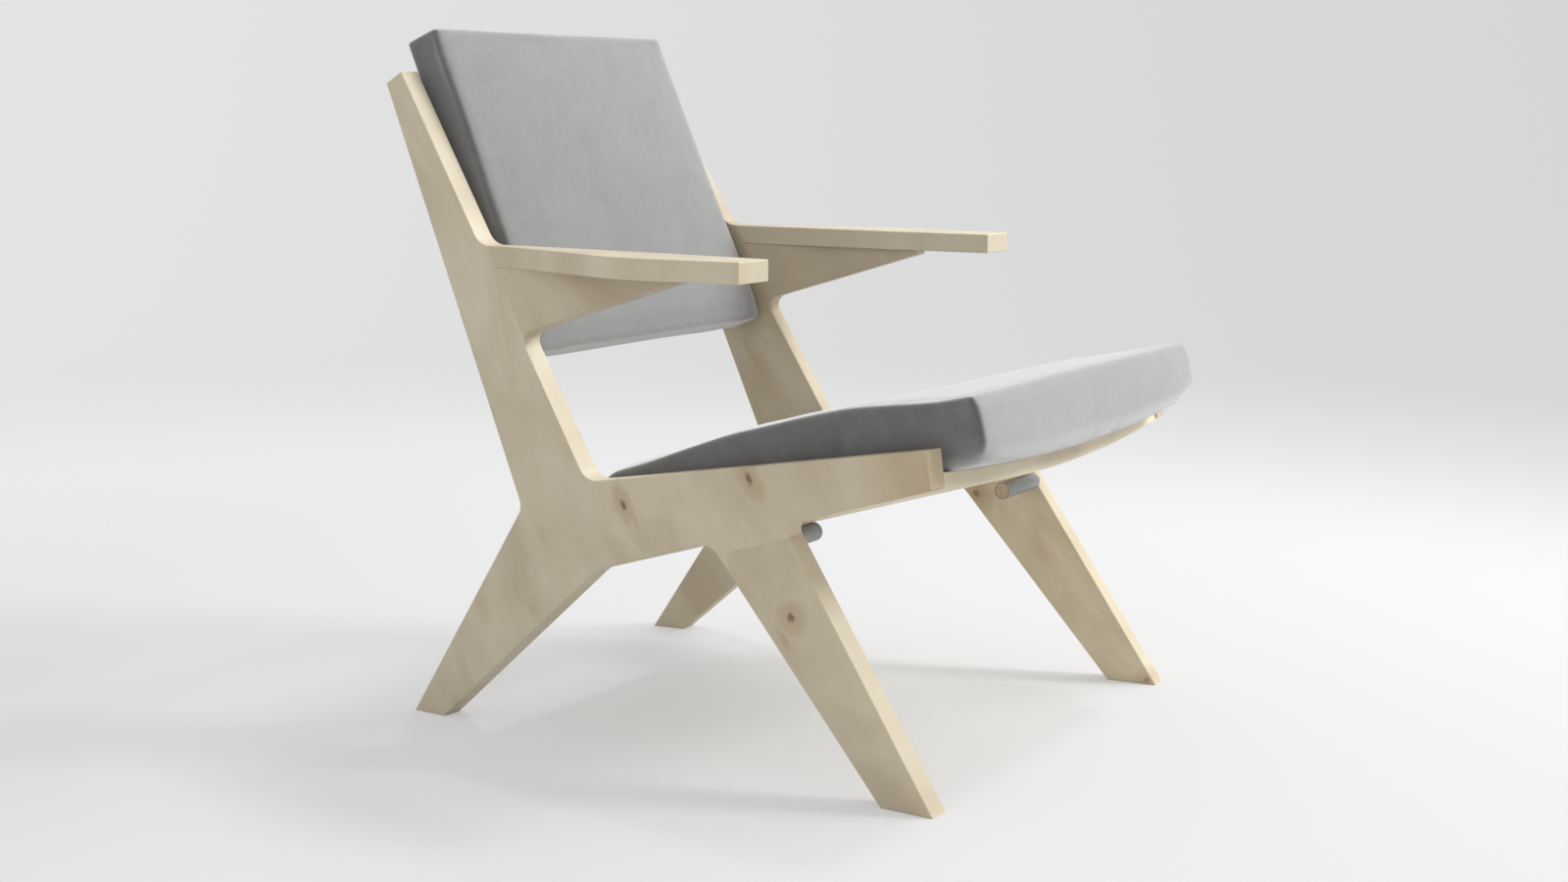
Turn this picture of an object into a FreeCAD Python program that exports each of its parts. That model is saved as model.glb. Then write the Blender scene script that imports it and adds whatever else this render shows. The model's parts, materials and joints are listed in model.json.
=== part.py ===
import FreeCAD, Part
import math
import os

import Sketcher
from FreeCAD import Placement, Rotation, Vector

# Easy chair: two toed-in plywood side frames. In each, one board is the seat
# rail, the rear leg and the upright, and a front leg and an arm bracket are
# boards of their own, dowelled to it edge to edge. A dished plywood seat and a
# flat back panel join the frames, and two loose cushions lie on those.
# Millimetres, +Z up, the sitter looks along -Y. The origin is on the floor
# under the middle of the chair. "Depth" is measured back from the front tip of
# the front feet, along a side frame for anything that belongs to it.

SIZES = [
    ("frame_width", 700, "outer faces of the side frames, at the front tips of the feet"),
    ("toe_angle", 4.55, "each side frame turns inward towards the rear, degrees"),
    ("panel_thickness", 30, "plywood of a side frame"),
    ("edge_ease", 1.5, "rounding of the side frames' long edges"),
    ("front_foot_length", 66.5, "front foot along the floor"),
    ("rear_foot_depth", 707, "front of the rear foot"),
    ("rear_foot_length", 48.7, "rear foot along the floor"),
    ("rail_height", 400, "upper front corner of the rail; drops are measured from it"),
    ("rail_tip_depth", 10, "lower front corner of the rail"),
    ("rail_tip_rise", 41.7, "height of the rail's cut front end"),
    ("rail_tip_lean", 5.7, "how far that end leans back"),
    ("fork_front_depth", 299.2, "corner between front leg and rail, behind the leg"),
    ("fork_front_drop", 131.9, "that corner below the rail height"),
    ("fork_rear_depth", 460.7, "corner between rail and rear leg"),
    ("fork_rear_drop", 182.4, "that corner below the rail height"),
    ("knee_depth", 199.8, "corner between rail and front leg, before the leg"),
    ("knee_drop", 100.8, "that corner below the rail height"),
    ("waist_depth", 577.3, "corner between rear leg and upright, at the rear"),
    ("waist_drop", 121.8, "that corner below the rail height"),
    ("hip_depth", 478.9, "corner between rail and upright, at the front"),
    ("hip_drop", 80.4, "that corner below the rail height"),
    ("upright_top_depth", 763.7, "front corner of the upright's top"),
    ("upright_top_height", 794.1, "height of that corner"),
    ("upright_top_run", 24.7, "top edge of the upright, rearward"),
    ("upright_top_fall", 14.1, "how far that edge falls"),
    ("bracket_root_drop", 77.5, "foot of the bracket on the upright, below the armrest"),
    ("bracket_tip_depth", 353, "front end of the bracket"),
    ("bracket_tip_blunt", 6.5, "height of the bracket's blunt tip"),
    ("arm_seat_height", 564.5, "top of the bracket, under the armrest"),
    ("arm_stop_slant", 11.5, "lean of the shoulder behind the armrest, over its height"),
    ("arm_stop_ledge", 0.1, "flat between that shoulder and the rounding behind it"),
    ("fork_front_radius", 28, "rounding of the corner of that name"),
    ("fork_rear_radius", 50, "rounding of the corner of that name"),
    ("knee_radius", 11, "rounding of the corner of that name"),
    ("waist_radius", 20, "rounding of the corner of that name"),
    ("hip_radius", 25, "rounding of the corner of that name"),
    ("bracket_root_radius", 15, "rounding under the bracket"),
    ("arm_stop_radius", 26, "rounding from the shoulder up into the upright"),
    ("leg_seam_drop", 15.4, "front leg's upper end below the line of the rail's lower edge"),
    ("bracket_seam_inset", 5.8, "bracket's rear end before its foot on the upright"),
    ("seam_dowel_spread", 44, "between the two dowels across a seam of two boards"),
    ("arm_thickness", 25, "armrest board"),
    ("arm_front_depth", 242.7, "outer front corner of an armrest"),
    ("arm_inner_reach", 38.5, "inner edge, from the frame's outer face"),
    ("arm_inner_taper_depth", 430, "where the inner edge starts to draw in"),
    ("arm_flush_length", 14.6, "inner edge flush with the frame, before the shoulder"),
    ("arm_front_overhang", 25.5, "outer edge at the front, beyond the frame"),
    ("arm_bulge_depth", 387.7, "where the outer edge reaches furthest"),
    ("arm_bulge_overhang", 54.1, "that reach, before the edge is rounded"),
    ("arm_bulge_radius", 168, "rounding of the outer edge there"),
    ("arm_tail_length", 38.3, "straight end of the outer edge, before the shoulder"),
    ("arm_tail_overhang", 1.5, "what is left of the overhang at the tail"),
    ("arm_tail_radius", 150, "rounding of the outer edge there"),
    ("seat_front_depth", 10.5, "front edge of the seat shell"),
    ("seat_front_drop", 41.8, "its top at the middle of that edge, below the rail height"),
    ("seat_slope_angle", 16.7, "seat shell falls towards the rear, degrees"),
    ("seat_shell_length", 562, "along the slope"),
    ("seat_shell_thickness", 17.5, "bent plywood"),
    ("seat_dish_radius", 3310, "hollow of the seat shell across the chair"),
    ("back_top_gap", 2, "back panel's rear top edge below the uprights' rear corners"),
    ("back_set_angle", 0.3, "back panel steeper than the uprights' rear edges, degrees"),
    ("back_panel_length", 318, "along the lean"),
    ("back_panel_thickness", 17, "plywood"),
    ("dowel_radius", 3, "hidden glued dowels"),
    ("dowel_length", 28, "hidden glued dowels"),
    ("dowel_play", 0.1, "radial glue gap round a dowel"),
    ("dowel_end_play", 1, "free length past a dowel at each end"),
    ("arm_dowel_front_inset", 77, "front dowel under an armrest, behind the bracket's tip"),
    ("arm_dowel_rear_inset", 44.6, "rear dowel under an armrest, before the shoulder"),
    ("seat_dowel_front_inset", 60, "first dowel in a side edge, from the shell's front"),
    ("seat_dowel_rear_inset", 52, "last dowel there, from the shell's rear"),
    ("back_dowel_inset", 50, "outer dowels in a side edge, from its ends"),
    ("peg_radius", 9.3, "wood core of a support peg"),
    ("peg_sleeve_wall", 1.6, "wall of the sleeve on it"),
    ("peg_reach", 97, "peg from the side frame inward"),
    ("peg_play", 0.1, "radial gap between core and sleeve"),
    ("right_peg_inset", 53.1, "right peg's axis behind the front edge of its leg"),
    ("right_peg_gap", 0.5, "its sleeve below the seat shell"),
    ("left_peg_inset", 5.3, "left peg's axis behind the front edge of its leg"),
    ("left_peg_gap", 22.7, "its sleeve below the seat shell"),
    ("soft_gap", 0.3, "between a cushion and what carries it"),
    ("seat_cushion_overhang", 58, "cushion before the shell's front edge"),
    ("seat_cushion_length", 557, "along the slope"),
    ("seat_cushion_side_gap", 7, "cushion to side frame"),
    ("seat_cushion_front_height", 88, "top side edge at the front, square to the slope"),
    ("seat_cushion_rear_height", 101, "top side edge at the rear, square to the slope"),
    ("seat_cushion_crown", 14, "middle of the top above its side edges"),
    ("seat_cushion_nose_rise", 18, "rounding under its front face"),
    ("seat_cushion_lift", 14, "lower side edges above the shell"),
    ("back_cushion_length", 415, "along the lean"),
    ("back_cushion_overhang", 45.8, "cushion above the panel's top edge, along the lean"),
    ("back_cushion_thickness", 53.5, "at its edges"),
    ("back_cushion_lift", 8, "rear side edges off the panel"),
    ("back_cushion_crown", 5, "middle of the front beyond its edges"),
    ("back_cushion_side_gap", 3.3, "cushion to side frame"),
    ("seat_cushion_corner", 15, "rounding of its upper side edges"),
    ("back_cushion_corner", 9, "rounding of its front side edges"),
    ("back_cushion_hollow", 0.1, "sag of its flat rear face, at its sides"),
    ("cushion_draw_in", 3, "how far the sides pull in between the corners"),
]

RIGHT = -1
LEFT = 1
SIDE_NAMES = {RIGHT: "right", LEFT: "left"}

SEAT_DOWELS_PER_SIDE = 3
# Two points this close count as touching.
TOUCH = 0.01
# A cushion's underside turns up over this many corner roundings, and half way
# across that turn it has risen by this share of it.
UNDER_TURN = 2.5
UNDER_TURN_RISE = 0.3
# The ends of the seat cushion close towards this share of its height.
END_LEVEL = 0.55

doc = FreeCAD.newDocument("easy_chair")
sheet = doc.addObject("Spreadsheet::Sheet", "sizes")
for row, (alias, value, note) in enumerate(SIZES, start=1):
    sheet.set(f"A{row}", alias)
    sheet.set(f"B{row}", str(value))
    sheet.set(f"C{row}", note)
    sheet.setAlias(f"B{row}", alias)
doc.recompute()


def size(alias):
    """The number in a named cell of the sheet"""
    return float(sheet.get(alias))


class Value:
    """A number with the sheet expression that gives it"""

    def __init__(self, number, text):
        self.number = number
        self.text = text

    def __add__(self, other):
        return Value(self.number + other.number, f"({self.text} + {other.text})")

    def __sub__(self, other):
        return Value(self.number - other.number, f"({self.text} - {other.text})")

    def __mul__(self, other):
        return Value(self.number * other.number, f"({self.text} * {other.text})")

    def __truediv__(self, other):
        return Value(self.number / other.number, f"({self.text} / {other.text})")


def cell(alias):
    """A named cell as a Value"""
    return Value(size(alias), f"sizes.{alias}")


def plain(number):
    """A bare number as a Value"""
    return Value(number, repr(float(number)))


def root(value):
    """The square root of a Value"""
    return Value(math.sqrt(value.number), f"sqrt({value.text})")


def below_rail(name):
    """Depth and height of a side frame's corner that hangs from the rail height"""
    return cell(f"{name}_depth"), cell("rail_height") - cell(f"{name}_drop")


def on_line(start, end, height):
    """Depth and height of the point at a height on the line through two others"""
    share = (height - start[1]) / (end[1] - start[1])
    return start[0] + (end[0] - start[0]) * share, height


def across_line(start, end, first, second):
    """Where the line through two points meets the line through two others"""
    run = end[0] - start[0]
    rise = end[1] - start[1]
    other_run = second[0] - first[0]
    other_rise = second[1] - first[1]
    ahead = (first[0] - start[0]) * other_rise - (first[1] - start[1]) * other_run
    share = ahead / (run * other_rise - rise * other_run)
    return start[0] + run * share, start[1] + rise * share


def rounding_reach(start, end, radius):
    """How far a rounding runs along a level edge that meets a line through two points"""
    run = end[0] - start[0]
    rise = end[1] - start[1]
    return radius * rise / (root(run * run + rise * rise) + run)


ZERO = plain(0)
TOE = math.radians(size("toe_angle"))
TOE_TAN = Value(math.tan(TOE), "tan(sizes.toe_angle * 1 deg)")
TOE_COS = Value(math.cos(TOE), "cos(sizes.toe_angle * 1 deg)")
SLOPE = math.radians(size("seat_slope_angle"))
SEAT_FRONT_HEIGHT = size("rail_height") - size("seat_front_drop")
SLEEVE_RADIUS = cell("peg_radius") + cell("peg_play") + cell("peg_sleeve_wall")

# Corners of a side frame, each a depth and a height.
KNEE = below_rail("knee")
FORK_FRONT = below_rail("fork_front")
FORK_REAR = below_rail("fork_rear")
HIP = below_rail("hip")
WAIST = below_rail("waist")
RAIL_TIP_LOW = (cell("rail_tip_depth"), cell("rail_height") - cell("rail_tip_rise"))
RAIL_TIP_TOP = (cell("rail_tip_depth") + cell("rail_tip_lean"), cell("rail_height"))
REAR_FOOT_END = cell("rear_foot_depth") + cell("rear_foot_length")
UPRIGHT_TOP = (cell("upright_top_depth"), cell("upright_top_height"))
UPRIGHT_BACK = (UPRIGHT_TOP[0] + cell("upright_top_run"),
                UPRIGHT_TOP[1] - cell("upright_top_fall"))
ARM_TOP = cell("arm_seat_height") + cell("arm_thickness")
BRACKET_ROOT = on_line(HIP, UPRIGHT_TOP, cell("arm_seat_height") - cell("bracket_root_drop"))
SHOULDER = on_line(HIP, UPRIGHT_TOP, ARM_TOP)
ARM_STOP_TOP = SHOULDER[0] - cell("arm_stop_ledge") - rounding_reach(
    HIP, UPRIGHT_TOP, cell("arm_stop_radius"))
ARM_STOP = ARM_STOP_TOP - cell("arm_stop_slant")
ARM_DOWEL_DEPTHS = {
    "front": cell("bracket_tip_depth") + cell("arm_dowel_front_inset"),
    "rear": ARM_STOP - cell("arm_dowel_rear_inset"),
}
# The front leg ends at a line under the rail's lower edge, and the bracket at a
# line from the armrest's shoulder down past its foot on the upright.
SEAM_FRONT = (RAIL_TIP_LOW[0], RAIL_TIP_LOW[1] - cell("leg_seam_drop"))
SEAM_KNEE = (KNEE[0], KNEE[1] - cell("leg_seam_drop"))
LEG_SEAM = (
    across_line(SEAM_FRONT, SEAM_KNEE, (ZERO, ZERO), KNEE),
    across_line(SEAM_FRONT, SEAM_KNEE, (cell("front_foot_length"), ZERO), FORK_FRONT),
)
BRACKET_SEAM = (
    (BRACKET_ROOT[0] - cell("bracket_seam_inset"), BRACKET_ROOT[1]),
    (ARM_STOP, cell("arm_seat_height")),
)
LEAN = math.atan2(UPRIGHT_BACK[0].number - WAIST[0].number,
                  UPRIGHT_BACK[1].number - WAIST[1].number) - math.radians(size("back_set_angle"))

# The origin is half way between the rearmost and the foremost points: the
# upright's top or the rear foot, and the foot of the seat cushion's front face.
FRONT_REACH = (
    size("seat_front_depth")
    - size("seat_cushion_overhang") * math.cos(SLOPE)
    + size("seat_cushion_nose_rise") * math.sin(SLOPE)
)
REAR_REACH = max(UPRIGHT_BACK[0].number, REAR_FOOT_END.number) * math.cos(TOE)
ORIGIN_DEPTH = (REAR_REACH + FRONT_REACH) / 2


def chair_placement():
    """From depths along the middle of the chair to the chair's own frame"""
    return Placement(Vector(0, -ORIGIN_DEPTH, 0), Rotation())


def side_placement(side):
    """From a side frame's own axes: X across, Y its depth, Z up"""
    turn = Rotation(Vector(0, 0, 1), side * size("toe_angle"))
    base = Vector(side * size("frame_width") / 2, -ORIGIN_DEPTH, 0)
    return Placement(base, turn)


def inner_half(depth):
    """Half the room between the side frames at a depth along the chair"""
    at_front = size("frame_width") / 2 - size("panel_thickness") / math.cos(TOE)
    return at_front - depth * math.tan(TOE)


def role_plane(body, role):
    """One of a body's own origin planes"""
    for feature in body.Origin.OriginFeatures:
        if feature.Role == role:
            return feature
    raise RuntimeError(f"{body.Label} has no {role}")


def new_body(label):
    """An empty body with its own label"""
    body = doc.addObject("PartDesign::Body", label)
    body.Label = label
    return body


def new_sketch(body, name, role, offset=ZERO):
    """A sketch on one of a body's planes, lifted off it by a bound offset"""
    sketch = body.newObject("Sketcher::SketchObject", name)
    sketch.AttachmentSupport = [(role_plane(body, role), "")]
    sketch.MapMode = "FlatFace"
    sketch.AttachmentOffset = Placement(Vector(0, 0, offset.number), Rotation())
    sketch.setExpression("AttachmentOffset.Base.z", offset.text)
    return sketch


def bind_point(sketch, curve, place, point):
    """Hold one end or centre of a sketch curve at two bound distances"""
    for kind, value in zip(("DistanceX", "DistanceY"), point):
        index = sketch.addConstraint(
            Sketcher.Constraint(kind, -1, 1, curve, place, value.number))
        sketch.setExpression(f"Constraints[{index}]", value.text)


def draw_polygon(sketch, points):
    """Closed outline of straight lines, every corner bound to the sheet"""
    ends = points[1:] + points[:1]
    for start, end in zip(points, ends):
        sketch.addGeometry(Part.LineSegment(
            Vector(start[0].number, start[1].number, 0),
            Vector(end[0].number, end[1].number, 0)))
    count = len(points)
    for line in range(count):
        sketch.addConstraint(
            Sketcher.Constraint("Coincident", line, 2, (line + 1) % count, 1))
    for line, point in enumerate(points):
        bind_point(sketch, line, 1, point)


def draw_circles(sketch, centres, radius):
    """Circles of one bound radius at bound centres"""
    for curve, centre in enumerate(centres):
        middle = Vector(centre[0].number, centre[1].number, 0)
        sketch.addGeometry(Part.Circle(middle, Vector(0, 0, 1), radius.number))
        bind_point(sketch, curve, 3, centre)
        index = sketch.addConstraint(
            Sketcher.Constraint("Radius", curve, radius.number))
        sketch.setExpression(f"Constraints[{index}]", radius.text)


def pad(body, name, sketch, length, reverse=False):
    """Pad a sketch by a bound length"""
    feature = body.newObject("PartDesign::Pad", name)
    feature.Profile = sketch
    feature.Reversed = reverse
    feature.setExpression("Length", length.text)
    doc.recompute()
    return feature


def pocket(body, name, sketch, length, reverse=False, midplane=False):
    """Cut a sketch out by a bound length, and insist that it cuts"""
    before = body.Shape.Volume
    feature = body.newObject("PartDesign::Pocket", name)
    feature.Profile = sketch
    feature.Reversed = reverse
    feature.Midplane = midplane
    feature.setExpression("Length", length.text)
    doc.recompute()
    if body.Shape.Volume >= before:
        raise RuntimeError(f"{name} cuts nothing")
    return feature


def edge_through(shape, test):
    """Names of the edges whose two ends and middle all pass a test"""
    names = []
    for number, edge in enumerate(shape.Edges, start=1):
        middle = edge.valueAt((edge.FirstParameter + edge.LastParameter) / 2)
        points = [vertex.Point for vertex in edge.Vertexes] + [middle]
        if all(test(point) for point in points):
            names.append(f"Edge{number}")
    return names


def round_edges(body, name, radius_alias, test):
    """Fillet the edges that pass a test by a bound radius"""
    base = body.Tip
    names = edge_through(base.Shape, test)
    if not names:
        raise RuntimeError(f"{name} finds no edge")
    feature = body.newObject("PartDesign::Fillet", name)
    feature.Base = (base, names)
    feature.setExpression("Radius", f"sizes.{radius_alias}")
    doc.recompute()
    return feature


def near(value, target):
    """Close enough to touch"""
    return abs(value - target) < TOUCH


def dowel_bore():
    """Radius of a dowel's hole"""
    return cell("dowel_radius") + cell("dowel_play")


def dowel_hole_depth():
    """Each of the two joined pieces holds half a dowel"""
    return cell("dowel_length") / plain(2) + cell("dowel_end_play")


def seat_dowel_places():
    """Depth and height of the seat shell's dowels on a side frame's inner face"""
    places = []
    middle = -size("seat_shell_thickness") / 2
    first = size("seat_dowel_front_inset")
    last = size("seat_shell_length") - size("seat_dowel_rear_inset")
    pitch = (last - first) / (SEAT_DOWELS_PER_SIDE - 1)
    for count in range(SEAT_DOWELS_PER_SIDE):
        along = first + count * pitch
        depth = size("seat_front_depth") + along * math.cos(SLOPE)
        half = inner_half(depth)
        rise = middle + half ** 2 / (2 * size("seat_dish_radius"))
        depth += rise * math.sin(SLOPE)
        height = SEAT_FRONT_HEIGHT - along * math.sin(SLOPE) + rise * math.cos(SLOPE)
        places.append((depth, height))
    return places


def back_point(along, forward):
    """Depth and height on the back: along it from its rear top edge, and forward"""
    top = on_line(WAIST, UPRIGHT_BACK, UPRIGHT_BACK[1] - cell("back_top_gap"))
    top_depth = top[0].number * math.cos(TOE) - size("panel_thickness") * math.sin(TOE)
    depth = top_depth - along * math.sin(LEAN) - forward * math.cos(LEAN)
    height = top[1].number - along * math.cos(LEAN) + forward * math.sin(LEAN)
    return depth, height


def back_dowel_places():
    """Depth and height of the back panel's dowels on a side frame's inner face"""
    inset = size("back_dowel_inset")
    length = size("back_panel_length")
    middle = size("back_panel_thickness") / 2
    return [back_point(along, middle) for along in (inset, length / 2, length - inset)]


def peg_drop(side):
    """A peg's axis straight below the middle of the seat shell's top surface"""
    tip = inner_half(size("knee_depth")) - size("peg_reach")
    under = size("seat_shell_thickness")
    hollow = tip ** 2 / (2 * (size("seat_dish_radius") + under))
    gap = size(f"{SIDE_NAMES[side]}_peg_gap")
    return (under - hollow + gap + SLEEVE_RADIUS.number) / math.cos(SLOPE)


def peg_place(side):
    """Depth and height of a peg's axis on the side frame's inner face

    The axis lies where a line under the seat shell's slope meets a line behind
    the front edge of the leg.
    """
    fall = math.tan(SLOPE)
    leg_run = KNEE[0].number / KNEE[1].number * math.cos(TOE)
    inset = size(f"{SIDE_NAMES[side]}_peg_inset") * math.cos(TOE)
    behind_foot = inset - size("panel_thickness") * math.sin(TOE)
    level = SEAT_FRONT_HEIGHT - peg_drop(side) + fall * (size("seat_front_depth") - behind_foot)
    height = level / (1 + fall * leg_run)
    return behind_foot + leg_run * height, height


def frame_depth(depth):
    """From a depth along the chair to the side frame's own, on its inner face"""
    return (depth + size("panel_thickness") * math.sin(TOE)) / math.cos(TOE)


def make_frame_outline(side):
    """A whole side frame in one piece, rounded and with its dowel holes"""
    name = SIDE_NAMES[side]
    body = new_body(f"{name}_frame_whole")
    corners = [
        (ZERO, ZERO),
        (cell("front_foot_length"), ZERO),
        FORK_FRONT,
        FORK_REAR,
        (cell("rear_foot_depth"), ZERO),
        (REAR_FOOT_END, ZERO),
        WAIST,
        UPRIGHT_BACK,
        UPRIGHT_TOP,
        SHOULDER,
        (ARM_STOP_TOP, ARM_TOP),
        (ARM_STOP, cell("arm_seat_height")),
        (cell("bracket_tip_depth"), cell("arm_seat_height")),
        (cell("bracket_tip_depth"), cell("arm_seat_height") - cell("bracket_tip_blunt")),
        BRACKET_ROOT,
        HIP,
        RAIL_TIP_TOP,
        RAIL_TIP_LOW,
        KNEE,
    ]
    outline = new_sketch(body, f"{name}_frame_outline", "YZ_Plane")
    draw_polygon(outline, corners)
    pad(body, f"{name}_frame_board", outline, cell("panel_thickness"), reverse=side == LEFT)

    rounded = [
        ("fork_front", FORK_FRONT),
        ("fork_rear", FORK_REAR),
        ("knee", KNEE),
        ("waist", WAIST),
        ("hip", HIP),
        ("bracket_root", BRACKET_ROOT),
        ("arm_stop", SHOULDER),
    ]
    for corner, place in rounded:
        depth = place[0].number
        height = place[1].number
        round_edges(body, f"{name}_{corner}_round", f"{corner}_radius",
                    lambda point: near(point.y, depth) and near(point.z, height))

    thickness = size("panel_thickness")
    arm_seat = size("arm_seat_height")
    arm_top = ARM_TOP.number
    bracket_tip = size("bracket_tip_depth")

    def eased(point):
        on_face = near(abs(point.x), 0) or near(abs(point.x), thickness)
        under_arm = arm_seat - TOUCH < point.z < arm_top + TOUCH and (
            bracket_tip - TOUCH < point.y < ARM_STOP_TOP.number + TOUCH)
        return on_face and not under_arm

    round_edges(body, f"{name}_eased_edges", "edge_ease", eased)

    across = cell("panel_thickness")
    face = across if side == RIGHT else ZERO - across
    places = seat_dowel_places() + back_dowel_places() + [peg_place(side)]
    centres = [(plain(frame_depth(depth)), plain(height)) for depth, height in places]
    inner = new_sketch(body, f"{name}_inner_holes", "YZ_Plane", face)
    draw_circles(inner, centres, dowel_bore())
    pocket(body, f"{name}_inner_bores", inner, dowel_hole_depth(), reverse=side == LEFT)

    half = face / plain(2)
    under_arm = new_sketch(body, f"{name}_arm_holes", "XY_Plane", cell("arm_seat_height"))
    draw_circles(under_arm, [(half, depth) for depth in ARM_DOWEL_DEPTHS.values()], dowel_bore())
    pocket(body, f"{name}_arm_bores", under_arm, dowel_hole_depth())
    body.Placement = side_placement(side)
    return body


def make_region(side, label, outline):
    """Tool: a prism right through a side frame, over an outline of depths and heights"""
    sketch = doc.addObject("Sketcher::SketchObject", f"{label}_outline")
    draw_polygon(sketch, outline)
    region = doc.addObject("Part::Extrusion", f"{label}_region")
    region.Base = sketch
    region.DirMode = "Custom"
    region.Dir = Vector(0, 0, 1)
    region.Solid = True
    region.Symmetric = True
    region.setExpression("LengthFwd", (cell("panel_thickness") * plain(4)).text)
    # The outline is drawn flat, so it is stood up into the side frame's plane.
    stand = Placement(Vector(), Rotation(Vector(1, 1, 1), 120))
    region.Placement = side_placement(side).multiply(stand)
    return region


def leg_outline():
    """Everything of a side frame below the front leg's seam"""
    margin = cell("panel_thickness") * plain(2)
    front = ZERO - margin
    rear = FORK_FRONT[0] + margin
    run = SEAM_KNEE[0] - SEAM_FRONT[0]
    rise = SEAM_KNEE[1] - SEAM_FRONT[1]

    def seam_at(depth):
        return depth, SEAM_FRONT[1] + rise * (depth - SEAM_FRONT[0]) / run

    return [(front, front), (rear, front), seam_at(rear), seam_at(front)]


def bracket_outline():
    """Everything of a side frame before the bracket's seam"""
    margin = cell("bracket_root_radius")
    foot, top = BRACKET_SEAM
    low = foot[1] - margin
    run = (top[0] - foot[0]) / (top[1] - foot[1])
    front = cell("bracket_tip_depth") - margin
    return [(front, low), (foot[0] - margin * run, low), top, (front, top[1])]


def make_side_boards(side, leg_bores, bracket_bores):
    """Board of rail, rear leg and upright, then the front leg and the arm bracket"""
    name = SIDE_NAMES[side]
    whole = make_frame_outline(side)
    leg_region = make_region(side, f"{name}_front_leg", leg_outline())
    bracket_region = make_region(side, f"{name}_arm_bracket", bracket_outline())
    rest = cut_away(f"{name}_rail_board", whole, [leg_region, bracket_region])
    leg = overlap_of(f"{name}_leg_board", whole, leg_region)
    bracket = overlap_of(f"{name}_bracket_board", whole, bracket_region)
    return [
        cut_away(f"{name}_side_frame", rest, leg_bores + bracket_bores),
        cut_away(f"{name}_front_leg", leg, leg_bores),
        cut_away(f"{name}_arm_bracket", bracket, bracket_bores),
    ]


def make_armrest(side):
    """Flat board on the bracket, widest at its middle, cut to the shoulder behind"""
    name = SIDE_NAMES[side]
    body = new_body(f"{name}_armrest")
    inward = plain(-side)
    front = cell("arm_front_depth")
    skew = (cell("arm_inner_reach") + cell("arm_front_overhang")) * TOE_TAN
    end = ARM_STOP_TOP
    flush_start = ARM_STOP - cell("arm_flush_length")
    tail_start = ARM_STOP - cell("arm_tail_length")
    inner = cell("arm_inner_reach") * inward
    flush = cell("panel_thickness") * inward
    bulge = (ZERO - cell("arm_bulge_overhang")) * inward
    tail = (ZERO - cell("arm_tail_overhang")) * inward
    corners = [
        (inner, front + skew),
        ((ZERO - cell("arm_front_overhang")) * inward, front),
        (bulge, cell("arm_bulge_depth")),
        (tail, tail_start),
        (tail, end),
        (flush, end),
        (flush, flush_start),
        (inner, cell("arm_inner_taper_depth")),
    ]
    plan = new_sketch(body, f"{name}_arm_plan", "XY_Plane", cell("arm_seat_height"))
    draw_polygon(plan, corners)
    pad(body, f"{name}_arm_board", plan, cell("arm_thickness"))
    rounded = [
        ("arm_bulge", bulge, cell("arm_bulge_depth")),
        ("arm_tail", tail, tail_start),
    ]
    for corner, across, depth in rounded:
        round_edges(body, f"{name}_{corner}_round", f"{corner}_radius",
                    lambda point: near(point.x, across.number) and near(point.y, depth.number))

    beyond = end + cell("arm_thickness")
    wedge = [
        (ARM_STOP, cell("arm_seat_height")),
        (end, ARM_TOP),
        (beyond, ARM_TOP),
        (beyond, cell("arm_seat_height")),
    ]
    side_view = new_sketch(body, f"{name}_arm_end", "YZ_Plane")
    draw_polygon(side_view, wedge)
    both_sides = (cell("arm_inner_reach") + cell("arm_bulge_overhang")) * plain(2)
    pocket(body, f"{name}_arm_end_cut", side_view, both_sides, midplane=True)

    seat = size("arm_seat_height")
    top = ARM_TOP.number

    def eased(point):
        level = near(point.z, seat) or near(point.z, top)
        return level and point.y < flush_start.number + TOUCH

    round_edges(body, f"{name}_arm_eased_edges", "edge_ease", eased)

    half = cell("panel_thickness") / plain(2) * inward
    holes = new_sketch(body, f"{name}_arm_dowel_holes", "XY_Plane", cell("arm_seat_height"))
    draw_circles(holes, [(half, depth) for depth in ARM_DOWEL_DEPTHS.values()], dowel_bore())
    pocket(body, f"{name}_arm_dowel_bores", holes, dowel_hole_depth(), reverse=True)
    body.Placement = side_placement(side)
    return body


def make_room():
    """Tool: the room between the inner faces of the side frames"""
    sketch = doc.addObject("Sketcher::SketchObject", "room_plan")
    margin = cell("frame_width") / plain(4)
    front = ZERO - margin
    rear = UPRIGHT_BACK[0] + margin
    at_front = cell("frame_width") / plain(2) - cell("panel_thickness") / TOE_COS

    def half(depth):
        return at_front - depth * TOE_TAN

    draw_polygon(sketch, [
        (ZERO - half(front), front),
        (half(front), front),
        (half(rear), rear),
        (ZERO - half(rear), rear),
    ])
    room = doc.addObject("Part::Extrusion", "room")
    room.Base = sketch
    room.DirMode = "Custom"
    room.Dir = Vector(0, 0, 1)
    room.Solid = True
    room.setExpression("LengthFwd", (cell("upright_top_height") + margin).text)
    room.Placement = chair_placement()
    return room


def make_dowel(label, placement, radius, length):
    """A cylinder that starts at a placement and runs along its Z"""
    rod = doc.addObject("Part::Cylinder", label)
    rod.setExpression("Radius", radius.text)
    rod.setExpression("Height", length.text)
    rod.Placement = placement
    return rod


def across_placement(side, depth, height, start):
    """On a side frame's inner face, pointing square to it into the chair"""
    inward = -side
    base = Vector(inward * (size("panel_thickness") + start), frame_depth(depth), height)
    turn = Rotation(Vector(0, 0, 1), Vector(inward, 0, 0))
    return side_placement(side).multiply(Placement(base, turn))


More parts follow.
